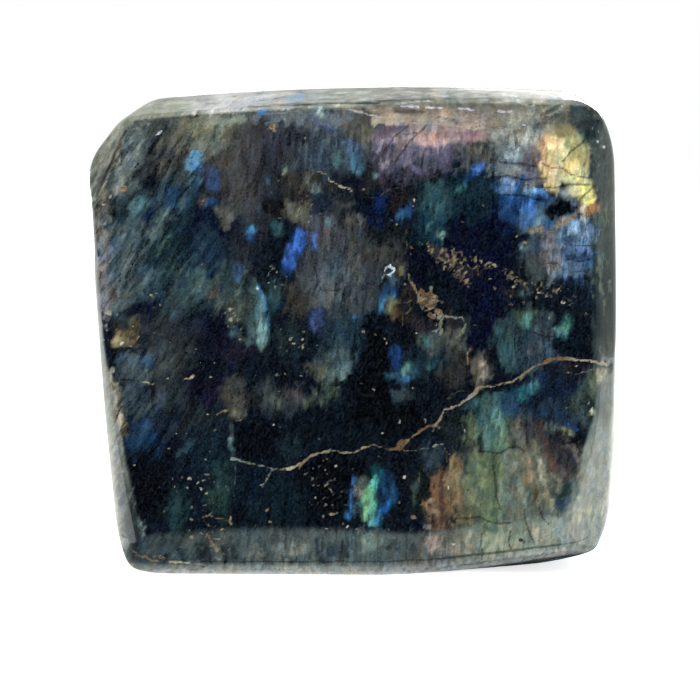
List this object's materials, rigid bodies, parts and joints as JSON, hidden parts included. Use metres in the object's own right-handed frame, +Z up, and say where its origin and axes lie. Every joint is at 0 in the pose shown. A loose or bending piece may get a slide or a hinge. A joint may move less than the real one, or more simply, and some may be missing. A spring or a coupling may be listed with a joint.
{
  "type": "labradorite freeform",
  "caption": "Polished block of dark labradorite with blue, gold and green flashes and a rusty vein, standing on its flat ground foot.",
  "frame": {"origin": "middle of the stone's box, on the plane that its foot stands on", "axes": "+X to the stone's right as seen from the front, the front face looks toward -Y, +Z up"},
  "size_m": [0.1039, 0.0414, 0.0976],
  "materials": {
    "labradorite": "mirror polish over dark feldspar with blue, gold and green flashes"
  },
  "bodies": {
    "root": {"labradorite_stone": "labradorite"}
  },
  "joints": []
}
